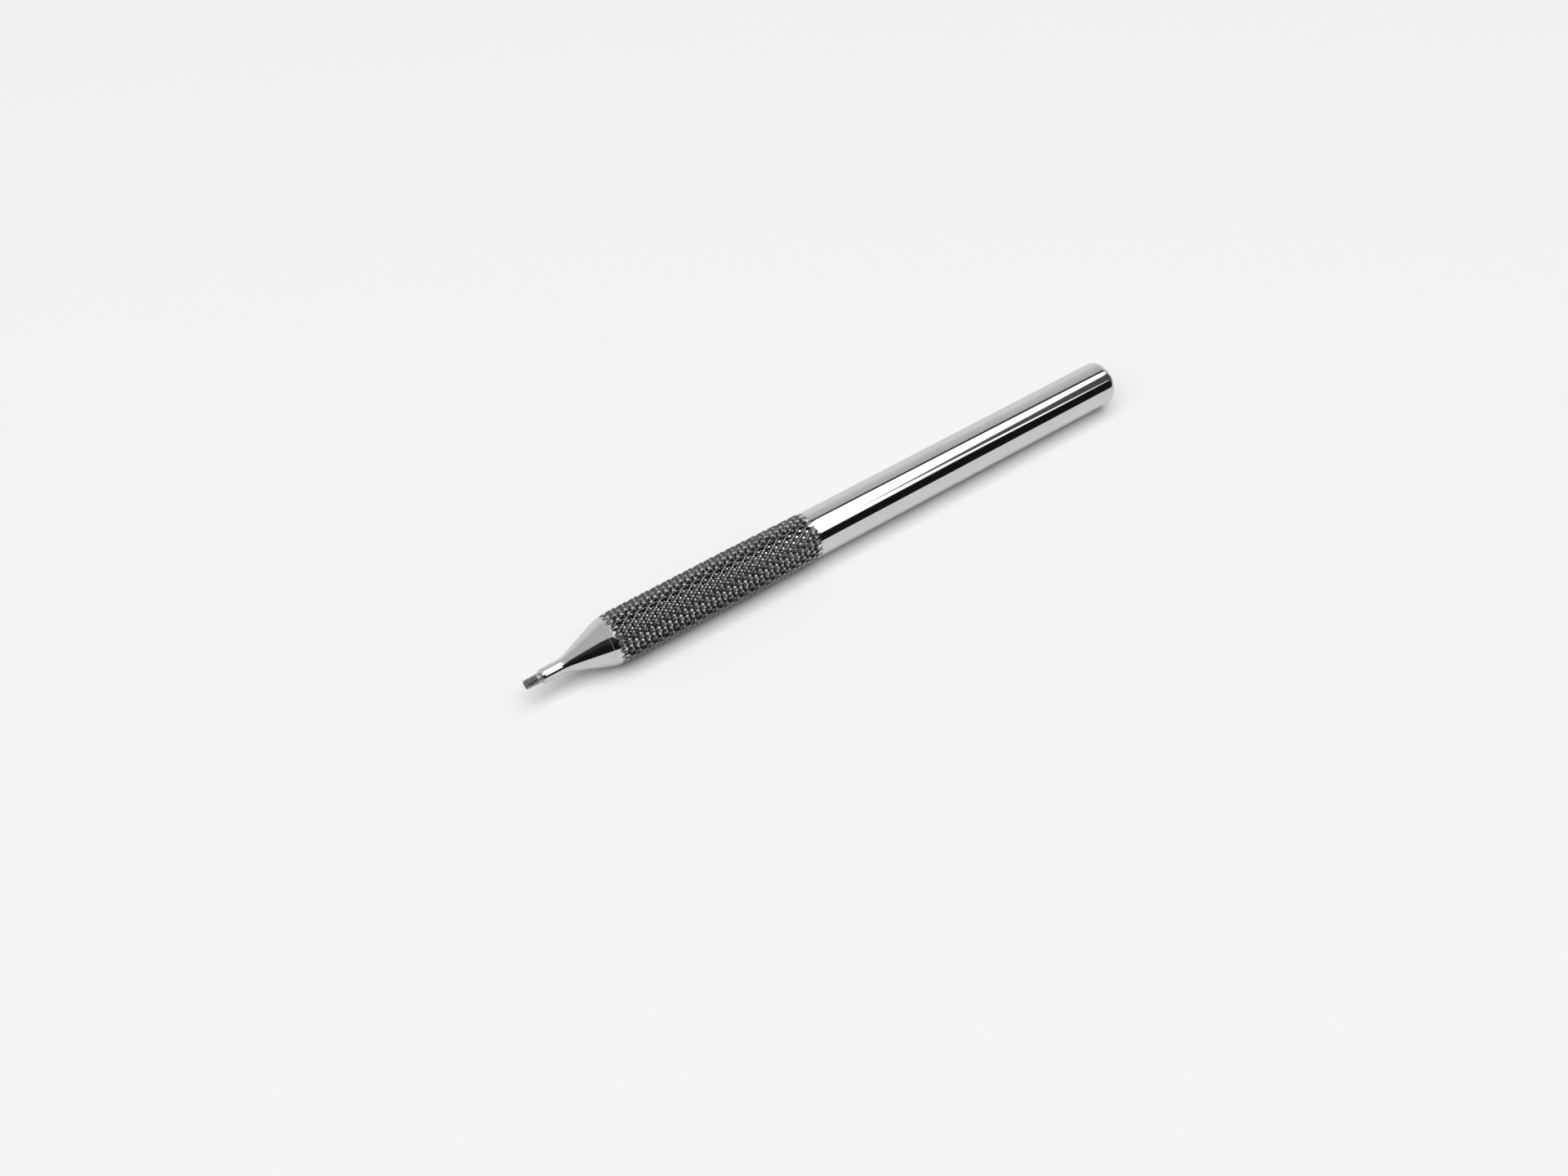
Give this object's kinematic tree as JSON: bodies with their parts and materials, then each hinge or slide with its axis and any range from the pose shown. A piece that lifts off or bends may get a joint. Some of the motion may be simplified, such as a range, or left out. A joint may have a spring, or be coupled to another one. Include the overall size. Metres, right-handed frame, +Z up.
{
  "type": "scriber handle",
  "caption": "Slim steel scriber handle: knurled tubular grip, polished shank with a rounded rear end, and a tapered nose ending in a small threaded stud for a screw-on point.",
  "frame": {"origin": "centre of the shoulder that a screw-on point seats on, on the tool's axis", "axes": "the tool's axis is X: the stud points along -X and the barrel runs to +X; +Z is up with the tool lying on a table"},
  "size_m": [0.1198, 0.0086, 0.0086],
  "materials": {
    "polished_steel": "mirror-polished stainless steel",
    "grip_steel": "polished stainless steel with a rolled knurl",
    "stud_steel": "plain machined steel, dull"
  },
  "bodies": {
    "root": {"nose": "polished_steel", "threaded_stud": "stud_steel", "barrel": "grip_steel", "rear_plug": "polished_steel"}
  },
  "joints": []
}
